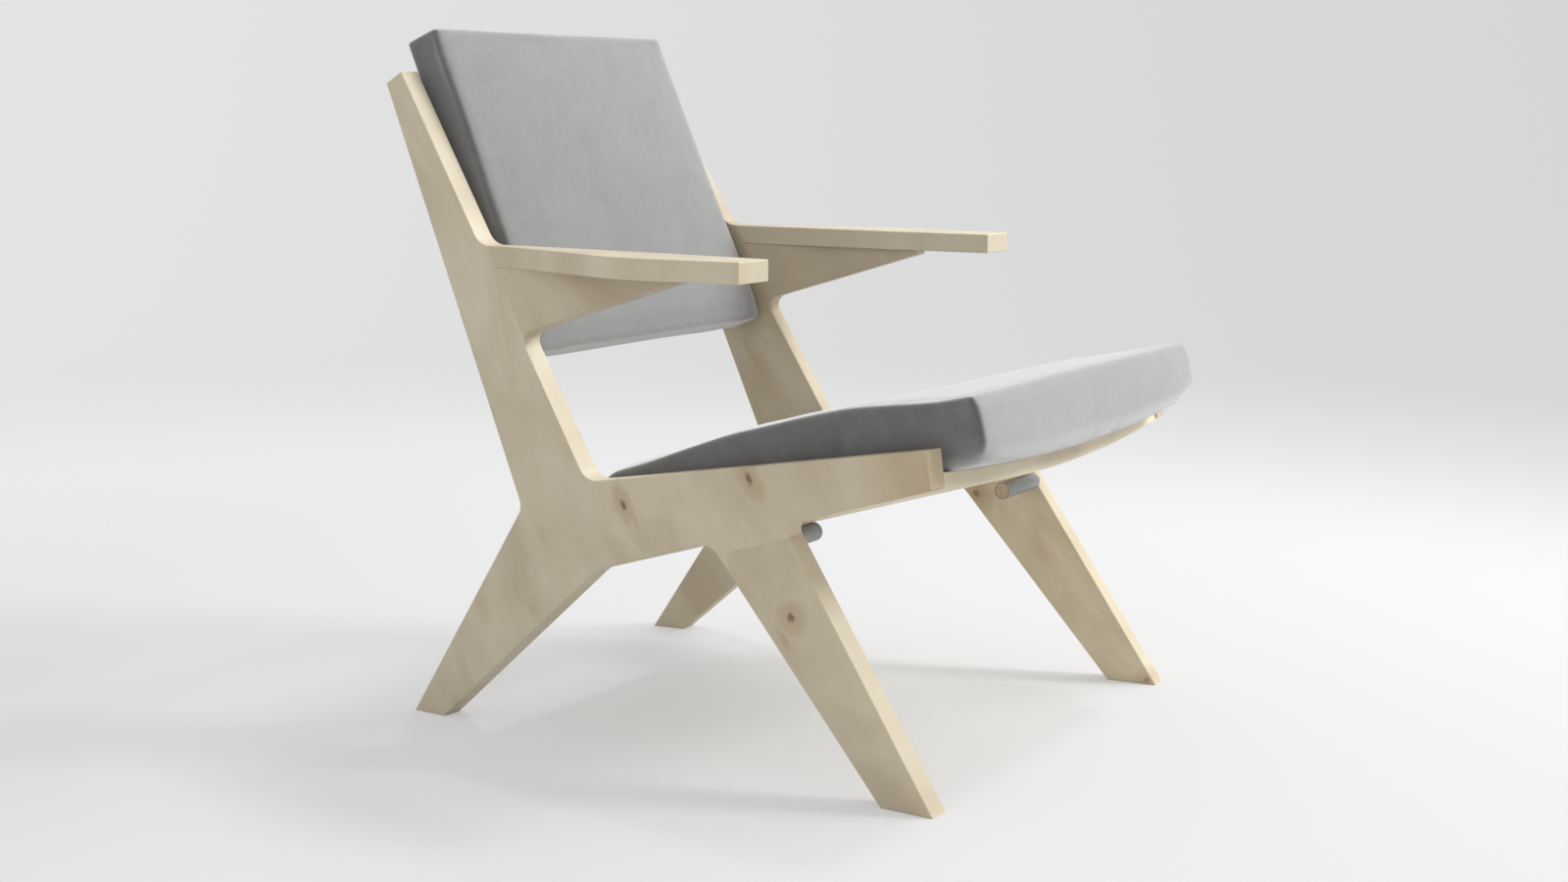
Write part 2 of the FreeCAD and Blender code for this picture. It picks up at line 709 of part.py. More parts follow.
def dowel_set(label, places_of_side):
    """Dowels square to both side frames, and the bores that they need"""
    rods = []
    bores = []
    half = size("dowel_length") / 2
    for side in (RIGHT, LEFT):
        name = SIDE_NAMES[side]
        for count, (depth, height) in enumerate(places_of_side(side), start=1):
            rods.append(make_dowel(
                f"{name}_{label}_{count}", across_placement(side, depth, height, -half),
                cell("dowel_radius"), cell("dowel_length")))
            bores.append(make_dowel(
                f"{name}_{label}_bore_{count}",
                across_placement(side, depth, height, -half),
                dowel_bore(), cell("dowel_length") + cell("dowel_end_play")))
    group = doc.addObject("Part::Compound", f"{label}s")
    group.Label = f"{label}s"
    group.Links = rods
    return group, bores


def arm_dowel_set():
    """Upright dowels, half in the bracket and half in the armrest"""
    rods = []
    for side in (RIGHT, LEFT):
        for place, depth in ARM_DOWEL_DEPTHS.items():
            base = Vector(-side * size("panel_thickness") / 2, depth.number,
                          size("arm_seat_height") - size("dowel_length") / 2)
            rods.append(make_dowel(
                f"{SIDE_NAMES[side]}_{place}_arm_dowel",
                side_placement(side).multiply(Placement(base, Rotation())),
                cell("dowel_radius"), cell("dowel_length")))
    group = doc.addObject("Part::Compound", "armrest_dowels")
    group.Label = "armrest_dowels"
    group.Links = rods
    return group


def seam_dowel_set(label, seam):
    """Two dowels across a seam of each side frame, and the bores for each side"""
    rods = []
    bores = {RIGHT: [], LEFT: []}
    start, end = (Vector(0, depth.number, height.number) for depth, height in seam)
    along = (end - start).normalize()
    square = Vector(0, -along.z, along.y)
    turn = Rotation(Vector(0, 0, 1), square)
    step = along * (size("seam_dowel_spread") / 2)
    rod_start = square * (size("dowel_length") / 2)
    bore_start = rod_start + square * size("dowel_end_play")
    bore_length = cell("dowel_length") + cell("dowel_end_play") * plain(2)
    for side in (RIGHT, LEFT):
        name = SIDE_NAMES[side]
        middle = (start + end) / 2 + Vector(-side * size("panel_thickness") / 2, 0, 0)
        for count, place in enumerate((middle - step, middle + step), start=1):
            rod_place = side_placement(side).multiply(Placement(place - rod_start, turn))
            rods.append(make_dowel(f"{name}_{label}_{count}", rod_place,
                                   cell("dowel_radius"), cell("dowel_length")))
            bore_place = side_placement(side).multiply(Placement(place - bore_start, turn))
            bores[side].append(make_dowel(f"{name}_{label}_bore_{count}", bore_place,
                                          dowel_bore(), bore_length))
    group = doc.addObject("Part::Compound", f"{label}s")
    group.Label = f"{label}s"
    group.Links = rods
    return group, bores


def overlap_of(label, first, second):
    """What two shapes have in common"""
    common = doc.addObject("Part::Common", label)
    common.Base = first
    common.Tool = second
    return common


def cut_away(label, base, tools):
    """A part less its tools, under its own label"""
    joined = doc.addObject("Part::Compound", f"{label}_tools")
    joined.Links = tools
    cut = doc.addObject("Part::Cut", label)
    cut.Label = label
    cut.Base = base
    cut.Tool = joined
    return cut


def seat_placement():
    """Origin on the shell's top at its front edge, Y down the slope, Z square to it"""
    tilt = Rotation(Vector(1, 0, 0), -size("seat_slope_angle"))
    base = Vector(0, size("seat_front_depth"), SEAT_FRONT_HEIGHT)
    return chair_placement().multiply(Placement(base, tilt))


def make_seat_shell(room, bores):
    """Dished board cut from between the side frames"""
    sketch = doc.addObject("Sketcher::SketchObject", "seat_section")
    half = cell("frame_width") / plain(2)
    radius = cell("seat_dish_radius")
    under = radius + cell("seat_shell_thickness")
    # Arc ends, heights measured from the middle of the top surface.
    top_rise = radius.number - math.sqrt(radius.number ** 2 - half.number ** 2)
    low_rise = radius.number - math.sqrt(under.number ** 2 - half.number ** 2)
    top_text = f"({radius.text} - sqrt({radius.text}^2 - {half.text}^2))"
    low_text = f"({radius.text} - sqrt({under.text}^2 - {half.text}^2))"
    top = Value(top_rise, top_text)
    low = Value(low_rise, low_text)
    left = ZERO - half
    sketch.addGeometry(Part.Arc(
        Vector(left.number, top.number, 0), Vector(0, 0, 0),
        Vector(half.number, top.number, 0)))
    sketch.addGeometry(Part.LineSegment(
        Vector(half.number, top.number, 0), Vector(half.number, low.number, 0)))
    sketch.addGeometry(Part.Arc(
        Vector(left.number, low.number, 0), Vector(0, -size("seat_shell_thickness"), 0),
        Vector(half.number, low.number, 0)))
    sketch.addGeometry(Part.LineSegment(
        Vector(left.number, low.number, 0), Vector(left.number, top.number, 0)))
    for first, first_end, second, second_end in (
            (0, 2, 1, 1), (1, 2, 2, 2), (2, 1, 3, 1), (3, 2, 0, 1)):
        sketch.addConstraint(Sketcher.Constraint(
            "Coincident", first, first_end, second, second_end))
    bind_point(sketch, 1, 1, (half, top))
    bind_point(sketch, 1, 2, (half, low))
    bind_point(sketch, 3, 1, (left, low))
    bind_point(sketch, 3, 2, (left, top))
    for curve, value in ((0, radius), (2, under)):
        index = sketch.addConstraint(Sketcher.Constraint("Radius", curve, value.number))
        sketch.setExpression(f"Constraints[{index}]", value.text)

    board = doc.addObject("Part::Extrusion", "seat_board")
    board.Base = sketch
    board.DirMode = "Custom"
    board.Dir = Vector(0, 0, -1)
    board.Solid = True
    board.setExpression("LengthFwd", "sizes.seat_shell_length")
    # The section is drawn flat, so it is stood up before it is tilted.
    stand = Placement(Vector(), Rotation(Vector(1, 0, 0), 90))
    board.Placement = seat_placement().multiply(stand)
    fitted = overlap_of("seat_between_frames", board, room)
    return cut_away("seat_shell", fitted, bores)


def back_placement(along, forward):
    """On the back: X across, Y rearward through the panel, Z up along the lean"""
    depth, height = back_point(along, forward)
    tilt = Rotation(Vector(1, 0, 0), -math.degrees(LEAN))
    return chair_placement().multiply(Placement(Vector(0, depth, height), tilt))


def make_back_panel(room, bores):
    """Flat board flush with the rear edges of the uprights"""
    board = doc.addObject("Part::Box", "back_board")
    board.setExpression("Length", "sizes.frame_width")
    board.setExpression("Width", "sizes.back_panel_thickness")
    board.setExpression("Height", "sizes.back_panel_length")
    corner = Placement(Vector(-size("frame_width") / 2, 0, 0), Rotation())
    board.Placement = back_placement(
        size("back_panel_length"), size("back_panel_thickness")).multiply(corner)
    fitted = overlap_of("back_between_frames", board, room)
    return cut_away("back_panel", fitted, bores)


def peg_placement(side):
    """Peg's tip, pointing straight across the chair to its own side frame"""
    depth, height = peg_place(side)
    tip = side * (inner_half(depth) - size("peg_reach"))
    base = Vector(tip, depth, height)
    turn = Rotation(Vector(0, 0, 1), Vector(side, 0, 0))
    return chair_placement().multiply(Placement(base, turn))


def make_peg(side, room, bore):
    """Wood core, cut to the side frame's inner face"""
    name = SIDE_NAMES[side]
    reach = cell("peg_reach") + cell("panel_thickness")
    core = make_dowel(f"{name}_peg_rod", peg_placement(side), cell("peg_radius"), reach)
    fitted = overlap_of(f"{name}_peg_fitted", core, room)
    return cut_away(f"{name}_peg", fitted, [bore])


def make_sleeve(side, room):
    """Tube over the whole length of a peg"""
    name = SIDE_NAMES[side]
    reach = cell("peg_reach") + cell("panel_thickness")
    outside = make_dowel(f"{name}_sleeve_outside", peg_placement(side), SLEEVE_RADIUS, reach)
    inside = make_dowel(f"{name}_sleeve_inside", peg_placement(side),
                        cell("peg_radius") + cell("peg_play"), reach)
    fitted = overlap_of(f"{name}_sleeve_fitted", outside, room)
    return cut_away(f"{name}_peg_sleeve", fitted, [inside])


def cushion_section(place, half, floor, dish_radius, lift, side_top, crown, corner):
    """Closed section of a cushion at one place along it

    floor is the height of its underside at the middle, lift how far the lower
    corners stand off the dish, side_top the height of its upper side edges.
    """
    def at(x, z):
        return Vector(x, place, z)

    def dish(x):
        return floor + x ** 2 / (2 * dish_radius)

    bend = corner * (1 - math.sqrt(0.5))
    flat = half - UNDER_TURN * corner
    low = dish(half) + lift
    turn_middle = dish(flat) + (low - dish(flat)) * UNDER_TURN_RISE
    brow = side_top - corner
    shoulder = half - corner
    crown_low = side_top + crown * (1 - (shoulder / half) ** 2)

    def mirrored(edges):
        flip = FreeCAD.Matrix()
        flip.A11 = -1
        return [edge.transformGeometry(flip) for edge in reversed(edges)]

    right = [
        Part.Arc(at(flat, dish(flat)), at((flat + half) / 2, turn_middle),
                 at(half, low)).toShape(),
        Part.makeLine(at(half, low), at(half, brow)),
        Part.Arc(at(half, brow), at(half - bend, side_top - bend + (crown_low - side_top) / 2),
                 at(shoulder, crown_low)).toShape(),
    ]
    top = Part.Arc(at(shoulder, crown_low), at(0, side_top + crown),
                   at(-shoulder, crown_low)).toShape()
    bottom = Part.Arc(at(-flat, dish(flat)), at(0, floor), at(flat, dish(flat))).toShape()
    return Part.Wire(Part.__sortEdges__(right + [top] + mirrored(right) + [bottom]))


def make_cushion(label, stations, placement):
    """Loft through the sections of a cushion"""
    cushion = doc.addObject("Part::Feature", label)
    cushion.Label = label
    sections = [cushion_section(*station) for station in stations]
    cushion.Shape = Part.makeLoft(sections, True, True)
    cushion.Placement = placement
    return cushion


def make_seat_cushion():
    """Thick pad on the seat shell, crowned, with soft ends and drawn-in sides"""
    start = -size("seat_cushion_overhang")
    length = size("seat_cushion_length")
    corner = size("seat_cushion_corner")
    # Share of the length, share of the height kept above the middle, share of
    # the rise under the nose, share of the crown, sides drawn in.
    profile = [
        (0.0, 0.78, 1.0, 0.1, 1.2),
        (0.012, 0.93, 0.45, 0.2, 0.3),
        (0.045, 1.0, 0.0, 0.45, 0.0),
        (0.22, 1.0, 0.0, 1.0, 0.6),
        (0.50, 1.0, 0.0, 1.0, 1.0),
        (0.80, 1.0, 0.0, 0.85, 0.6),
        (0.955, 0.92, 0.3, 0.2, 0.3),
        (1.0, 0.60, 1.0, 0.1, 2.0),
    ]
    stations = []
    for share, tall, risen, crowned, drawn in profile:
        along = start + share * length
        depth = size("seat_front_depth") + along * math.cos(SLOPE)
        rear = depth + size("seat_cushion_rear_height") * math.sin(SLOPE)
        half = inner_half(rear) - size("seat_cushion_side_gap")
        half -= drawn * size("cushion_draw_in")
        full = size("seat_cushion_front_height") + share * (
            size("seat_cushion_rear_height") - size("seat_cushion_front_height"))
        middle = full * END_LEVEL
        side_top = middle + (full - middle) * tall
        floor = size("soft_gap") + risen * size("seat_cushion_nose_rise")
        stations.append((along, half, floor, size("seat_dish_radius"),
                         size("seat_cushion_lift"), side_top,
                         crowned * size("seat_cushion_crown"), corner))
    return make_cushion("seat_cushion", stations, seat_placement())


def make_back_cushion():
    """Pad on the back panel, its front crowned, with drawn-in sides"""
    length = size("back_cushion_length")
    thickness = size("back_cushion_thickness")
    corner = size("back_cushion_corner")
    middle = thickness / 2
    bottom = length - size("back_cushion_overhang")
    panel_front = size("back_panel_thickness") + size("soft_gap")
    # Share of the length, share of the thickness, share of the crown, sides
    # drawn in.
    profile = [
        (0.0, 0.70, 0.1, 2.0),
        (0.015, 0.92, 0.2, 0.5),
        (0.05, 1.0, 0.5, 0.0),
        (0.30, 1.0, 1.0, 0.7),
        (0.70, 1.0, 1.0, 0.7),
        (0.95, 1.0, 0.4, 0.0),
        (0.99, 0.96, 0.2, 0.2),
        (1.0, 0.84, 0.1, 0.8),
    ]
    stations = []
    for share, tall, crowned, drawn in profile:
        depth = back_point(bottom - share * length, panel_front)[0]
        half = inner_half(depth) - size("back_cushion_side_gap")
        half -= drawn * size("cushion_draw_in")
        hollow_radius = half ** 2 / (2 * size("back_cushion_hollow"))
        stations.append((share * length, half, middle * (1 - tall), hollow_radius,
                         size("back_cushion_lift") * tall, middle + middle * tall,
                         crowned * size("back_cushion_crown"), corner))
    # The section is drawn flat, so its length is turned up along the back.
    turn = Placement(Vector(), Rotation(Vector(1, 0, 0), 90))
    return make_cushion("back_cushion", stations,
                        back_placement(bottom, panel_front).multiply(turn))


def build():
    """Every sub-part, by label"""
    room = make_room()
    seat_dowels, seat_bores = dowel_set("seat_dowel", lambda side: seat_dowel_places())
    back_dowels, back_bores = dowel_set("back_dowel", lambda side: back_dowel_places())
    peg_dowels, peg_bores = dowel_set("peg_dowel", lambda side: [peg_place(side)])
    leg_dowels, leg_bores = seam_dowel_set("leg_dowel", LEG_SEAM)
    bracket_dowels, bracket_bores = seam_dowel_set("bracket_dowel", BRACKET_SEAM)
    parts = []
    for side in (RIGHT, LEFT):
        parts += make_side_boards(side, leg_bores[side], bracket_bores[side])
    parts += [make_armrest(side) for side in (RIGHT, LEFT)]
    parts += [make_seat_shell(room, seat_bores), make_back_panel(room, back_bores)]
    parts += [make_peg(side, room, bore) for side, bore in zip((RIGHT, LEFT), peg_bores)]
    parts += [make_sleeve(side, room) for side in (RIGHT, LEFT)]
    parts += [arm_dowel_set(), leg_dowels, bracket_dowels, seat_dowels, back_dowels, peg_dowels]
    parts += [make_seat_cushion(), make_back_cushion()]
    return parts


def check_and_write(parts):
    """Stop on anything failed, then write one file for each sub-part"""
    doc.recompute()
    for item in doc.Objects:
        if "Invalid" in item.State or "Error" in item.State:
            raise RuntimeError(f"{item.Label} is {item.State}")
    for part in parts:
        if part.Shape.isNull() or not part.Shape.isValid():
            raise RuntimeError(f"{part.Label} has no valid shape")
    os.makedirs("parts", exist_ok=True)
    for part in parts:
        part.Shape.exportStep(f"parts/{part.Label}.step")
        box = part.Shape.BoundBox
        print(f"{part.Label}: {len(part.Shape.Solids)} solids, "
              f"{part.Shape.Volume / 1000:.1f} cm3, "
              f"x {box.XMin:.1f} {box.XMax:.1f}, y {box.YMin:.1f} {box.YMax:.1f}, "
              f"z {box.ZMin:.1f} {box.ZMax:.1f}")


check_and_write(build())
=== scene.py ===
"""Easy chair, dressed: knotty plywood boards and two soft grey cushions

Metres, in the CAD's own frame: +Z up, the sitter looks along -Y and +X is the
sitter's left.
"""
import json
import math

import bmesh
import bpy
from mathutils import Matrix, Vector, noise
from mathutils.kdtree import KDTree


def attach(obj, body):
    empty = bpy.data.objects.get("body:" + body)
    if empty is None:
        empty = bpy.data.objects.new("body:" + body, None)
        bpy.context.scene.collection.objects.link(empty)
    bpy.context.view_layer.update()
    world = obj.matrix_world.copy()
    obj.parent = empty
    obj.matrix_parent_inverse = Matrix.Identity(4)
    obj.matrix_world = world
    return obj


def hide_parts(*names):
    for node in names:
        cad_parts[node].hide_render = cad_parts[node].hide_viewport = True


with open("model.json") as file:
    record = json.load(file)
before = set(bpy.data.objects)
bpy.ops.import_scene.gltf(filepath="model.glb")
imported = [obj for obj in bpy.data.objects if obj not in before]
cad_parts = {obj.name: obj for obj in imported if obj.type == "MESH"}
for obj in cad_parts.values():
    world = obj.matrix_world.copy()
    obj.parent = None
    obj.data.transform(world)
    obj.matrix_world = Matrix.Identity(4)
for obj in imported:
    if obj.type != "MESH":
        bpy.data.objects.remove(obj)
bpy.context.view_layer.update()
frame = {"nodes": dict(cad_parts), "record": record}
scene = bpy.context.scene

# Where the side frames stand, as in the part's own source.
TOE = math.radians(4.55)
HALF_WIDTH = 0.350
FRONT = -0.373017
PANEL = 0.030
# The right side is the near one in the photograph.
SIDES = {"right": -1, "left": 1}


def frame_axes(side):
    """Front tip of a side frame's outer face, its depth axis and its inward axis"""
    sign = SIDES[side]
    origin = Vector((sign * HALF_WIDTH, FRONT, 0))
    depth = Vector((-sign * math.sin(TOE), math.cos(TOE), 0))
    inward = Vector((-sign * math.cos(TOE), -math.sin(TOE), 0))
    return origin, depth, inward


def on_frame(side, depth, height):
    """A point on a side frame's outer face, by depth and height"""
    origin, along, _ = frame_axes(side)
    return origin + along * depth + Vector((0, 0, height))


def frame_direction(side, run, rise):
    """A direction in a side frame's own plane"""
    along = frame_axes(side)[1]
    return (along * run + Vector((0, 0, rise))).normalized()


def half_room(depth, gap):
    """Half the width between the side frames at a depth, less a gap at each"""
    return HALF_WIDTH - PANEL / math.cos(TOE) - depth * math.tan(TOE) - gap


def add_object(name, data):
    """A new object in the scene"""
    thing = bpy.data.objects.new(name, data)
    scene.collection.objects.link(thing)
    return thing


def mesh_object(name, mesh):
    """A new object made of a bmesh, which is freed"""
    data = bpy.data.meshes.new(name)
    mesh.to_mesh(data)
    mesh.free()
    return add_object(name, data)


def cover(thing, material):
    """Give an object one material on all its faces"""
    thing.data.materials.clear()
    thing.data.materials.append(material)


class Tree:
    """Short calls for one material's nodes"""

    def __init__(self, name):
        self.material = bpy.data.materials.new(name)
        self.material.use_nodes = True
        self.nodes = self.material.node_tree.nodes
        self.links = self.material.node_tree.links
        self.shader = self.nodes["Principled BSDF"]

    def put(self, socket, value):
        """Link another node's output to a socket, or set a plain value there"""
        if isinstance(value, bpy.types.NodeSocket):
            self.links.new(value, socket)
        elif value is not None:
            socket.default_value = value

    def add(self, kind, inputs=(), out=0, **settings):
        """A new node's output, with the node's settings and inputs as given"""
        node = self.nodes.new(kind)
        for key, value in settings.items():
            setattr(node, key, value)
        for key, value in dict(inputs).items():
            self.put(node.inputs[key], value)
        return node.outputs[out]

    def place(self):
        return self.add("ShaderNodeTexCoord", out="Object")

    def maths(self, operation, first, second=None, third=None, clamp=False):
        return self.add("ShaderNodeMath", {0: first, 1: second, 2: third},
                        operation=operation, use_clamp=clamp)

    def dot(self, vector, axis):
        return self.add("ShaderNodeVectorMath", {0: vector, 1: tuple(axis)},
                        out="Value", operation="DOT_PRODUCT")

    def stretch(self, places, rates):
        """A vector of three values, each times its own rate"""
        parts = [self.maths("MULTIPLY", place, rate) for place, rate in zip(places, rates)]
        return self.add("ShaderNodeCombineXYZ", dict(enumerate(parts)))

    def noise(self, vector, scale=1.0, detail=2.0, rough=0.5, warp=0.0):
        return self.add("ShaderNodeTexNoise", {
            "Vector": vector, "Scale": scale, "Detail": detail,
            "Roughness": rough, "Distortion": warp})

    def ramp(self, value, low, high, to_low=0.0, to_high=1.0):
        """An eased change from one value to another while the input goes from low to high"""
        return self.add("ShaderNodeMapRange", {
            "Value": value, "From Min": low, "From Max": high,
            "To Min": to_low, "To Max": to_high}, interpolation_type="SMOOTHSTEP")

    def blend(self, share, first, second):
        return self.add("ShaderNodeMix", {0: share, 6: first, 7: second}, out=2, data_type="RGBA")

    def stain(self, colour, layers):
        """The colour with each layer's own colour laid over it, by the layer's share"""
        for share, layer in layers:
            colour = self.blend(share, colour, layer)
        return colour

    def finish(self, colour, height=None, bump=0.0, **constants):
        """The material, with its colour, its relief in metres and the shader's constants"""
        self.put(self.shader.inputs["Base Color"], colour)
        for key, value in constants.items():
            self.shader.inputs[key.replace("_", " ")].default_value = value
        if height is not None:
            relief = self.add("ShaderNodeBump", {"Strength": 1.0, "Distance": bump, "Height": height})
            self.put(self.shader.inputs["Normal"], relief)
        return self.material


def shade(colour, factor=1.0):
    return tuple(part * factor for part in colour) + (1.0,)


BLOND = (0.645, 0.579, 0.437)
BROWN = (0.330, 0.225, 0.120)
KNOT = (0.190, 0.140, 0.095)
SLEEVE_DARK = (0.245, 0.257, 0.262)
SLEEVE_PALE = (0.305, 0.317, 0.322)
PILE_DARK = (0.057, 0.058, 0.059)
PILE_PALE = (0.086, 0.086, 0.086)

# The veneer's figure, in waves per metre along the grain, across it and into it.
WANDER = (2.2, 5.0, 1.0)
PATCHES = (5.0, 9.0, 1.0)
BLOTCHES = (14.0, 38.0, 14.0)
STREAKS = (7.0, 120.0, 60.0)
FIBRES = (45.0, 1500.0, 1500.0)
RINGS = 70
# Ragged rims of the knots: waves per metre, and the most they wander each way.
RAGGED = 110.0
RAGGED_LENGTH = 0.020
RAGGED_WIDTH = 0.010
# How far the grain wanders, and how far a knot pushes it aside, in metres.
WANDER_BEND = 0.09
KNOT_BEND = 0.032


def knot_reach(tree, run, off, half_length, half_width, ragged):
    """Distance from a knot's middle, 1 at its ragged rim"""
    run = tree.maths("MULTIPLY_ADD", ragged, min(half_length * 1.6, RAGGED_LENGTH), run)
    off = tree.maths("MULTIPLY_ADD", ragged, min(half_width * 1.2, RAGGED_WIDTH), off)
    far = tree.maths("POWER", tree.maths("DIVIDE", run, half_length), 2.0)
    wide = tree.maths("POWER", tree.maths("DIVIDE", off, half_width), 2.0)
    return tree.maths("SQRT", tree.maths("ADD", far, wide))


def wood(name, grain, face, tone_and_shading=1.0, warmth_and_bounce=0.0, seed=0.0, figure=1.0, knots_and_shade=()):
    """Pale knotty veneer: grain lines that bend round the knots

    grain and face are directions; each entry of knots_and_shade, a knot or a
    patch of painted shade, is a point, its half length along the grain, its half
    width and its darkness. seed moves the figure, tone_and_shading and
    warmth_and_bounce change its colour, also where they paint light, shade or
    warm bounce onto a board, and figure is its strength.
    """
    tree = Tree(name)
    grain = Vector(grain).normalized()
    face = Vector(face).normalized()
    across = face.cross(grain).normalized()
    shift_along, shift_side = seed * 3.1, seed * 1.7
    place = tree.place()
    along = tree.maths("ADD", tree.dot(place, grain), shift_along)
    side = tree.maths("ADD", tree.dot(place, across), shift_side)
    deep = tree.dot(place, face)

    wander = tree.noise(tree.stretch((along, side, deep), WANDER))
    bent = tree.maths("MULTIPLY_ADD", wander, WANDER_BEND, side)
    ragged = tree.maths("SUBTRACT", tree.noise(place, scale=RAGGED, detail=3), 0.5)
    # The darkness gathers the knots and the patches of painted shade listed with them.
    dark = 0.0
    for point, half_length, half_width, darkness in knots_and_shade:
        run = tree.maths("SUBTRACT", along, point.dot(grain) + shift_along)
        off = tree.maths("SUBTRACT", side, point.dot(across) + shift_side)
        reach = knot_reach(tree, run, off, half_length, half_width, ragged)
        bent = tree.maths("ADD", bent, tree.ramp(reach, 8.0, 0.0, 0.0, KNOT_BEND))
        core = tree.ramp(reach, 2.2, 0.2, 0.0, darkness)
        halo = tree.ramp(reach, 6.5, 0.6, 0.0, 0.44 * darkness)
        dark = tree.maths("MAXIMUM", dark, tree.maths("MAXIMUM", core, halo))

    bent_places = (along, bent, deep)
    patches = tree.noise(tree.stretch(bent_places, PATCHES), detail=3, warp=0.6)
    blotches = tree.noise(tree.stretch(bent_places, BLOTCHES), detail=3)
    streaks = tree.noise(tree.stretch(bent_places, STREAKS), detail=3, rough=0.6)
    fibres = tree.noise(tree.stretch((along, side, deep), FIBRES), detail=1)
    rings = tree.maths("SINE", tree.maths("MULTIPLY", bent, 2 * math.pi * RINGS))
    lines = tree.maths("MULTIPLY", tree.ramp(rings, 0.3, 1.0), tree.ramp(patches, 0.48, 0.66))

    # The tone lightens or darkens the whole board and the warmth browns it; on some boards this is
    # painted light, painted shade or painted warm bounce.
    base = Vector(BLOND) * tone_and_shading
    base += (Vector(BROWN) - base) * warmth_and_bounce
    tanned = base + (Vector(BROWN) - base) * 0.29
    colour = tree.stain(shade(base, 1.05), (
        (tree.ramp(patches, 0.33, 0.70), shade(tanned)),
        (tree.ramp(blotches, 0.40, 0.72, 0.0, 0.12 * figure), shade(BROWN, 1.5)),
        (tree.ramp(streaks, 0.45, 0.78, 0.0, 0.025 * figure), shade(BROWN, 1.5)),
        (tree.maths("MULTIPLY", lines, 0.025 * figure), shade(BROWN, 1.2)),
        (tree.ramp(fibres, 0.35, 0.70, 0.0, 0.04), shade(BROWN, 1.3)),
        (tree.ramp(dark, 0.0, 0.45, 0.0, 0.55), shade(BROWN, 1.35)),
        (tree.ramp(dark, 0.40, 1.0, 0.0, 0.9), shade(KNOT)),
    ))
    relief = tree.maths("ADD", tree.maths("MULTIPLY", fibres, 0.6), tree.maths("MULTIPLY", streaks, 0.4))
    tree.put(tree.shader.inputs["Roughness"], tree.ramp(streaks, 0.3, 0.7, 0.46, 0.56))
    return tree.finish(colour, relief, bump=0.00010, Specular_IOR_Level=0.38)


def turned_wood(name):
    """Turned rods: fine fibres along their axis, which runs along X"""
    tree = Tree(name)
    place = tree.place()
    axes = [tree.dot(place, axis) for axis in ((1, 0, 0), (0, 1, 0), (0, 0, 1))]
    ragged = tree.noise(tree.stretch(axes, (20.0, 420.0, 420.0)), detail=3)
    colour = tree.blend(tree.ramp(ragged, 0.35, 0.7), shade(BLOND, 0.85), shade(BROWN, 1.5))
    return tree.finish(colour, ragged, bump=0.0002, Roughness=0.6)


def satin_sleeve(name):
    """Grey sleeve with a faint rubbed mottle"""
    tree = Tree(name)
    place = tree.place()
    mottle = tree.noise(place, scale=140.0, detail=3)
    colour = tree.blend(tree.ramp(mottle, 0.3, 0.7), shade(SLEEVE_DARK), shade(SLEEVE_PALE))
    scuff = tree.noise(place, scale=900.0, detail=2)
    return tree.finish(colour, scuff, bump=0.00003, Roughness=0.40, Specular_IOR_Level=0.45)


def velour(name):
    """Soft grey pile: dark seen square on, pale along the surface"""
    tree = Tree(name)
    place = tree.place()
    clouds = tree.noise(place, scale=17.0, detail=3, rough=0.6, warp=0.3)
    brushed = tree.noise(place, scale=58.0, detail=4, rough=0.62, warp=0.5)
    pile = tree.noise(place, scale=1600.0, detail=1)
    colour = tree.stain(shade(PILE_DARK), (
        (tree.ramp(clouds, 0.3, 0.7), shade(PILE_PALE)),
        (tree.ramp(brushed, 0.34, 0.70, 0.0, 0.55), shade(PILE_PALE, 1.35)),
        (tree.ramp(pile, 0.3, 0.7, 0.0, 0.22), shade(PILE_DARK, 0.72)),
    ))
    relief = tree.maths("ADD", tree.maths("MULTIPLY", brushed, 0.5), tree.maths("MULTIPLY", pile, 0.5))
    return tree.finish(colour, relief, bump=0.00035, Roughness=0.60, Specular_IOR_Level=0.34,
                       Sheen_Weight=1.0, Sheen_Roughness=0.63, Sheen_Tint=(1.0, 1.0, 1.0, 1.0))


# Grain of the boards in a side frame's plane, as run and rise.
UPRIGHT_GRAIN = (0.285, 0.4745)
LEG_GRAIN = (0.5553, 0.8316)
BRACKET_GRAIN = (-0.42, -0.21)
ARMREST_GRAIN = (1, 0)
# Faces of the two boards that span the chair.
SHELL_FACE = (0, 0.287, 0.958)
PANEL_FACE = (0, 0.923, 0.385)

# Each side's look: tone and warmth of the frame's board and tone of the leg's,
# then the seeds of frame, leg, bracket and armrest. These tones paint light
# and shade: the far left frame is darker and warmer, painted shade and warm
# bounce on its inner faces, and the legs, the far one most, are lighter,
# painted light.
LOOKS = {
    "right": ((1.00, 0.00, 1.02), (1.0, 2.0, 3.0, 7.0)),
    "left": ((0.90, 0.14, 1.10), (4.0, 5.0, 6.0, 8.0)),
}

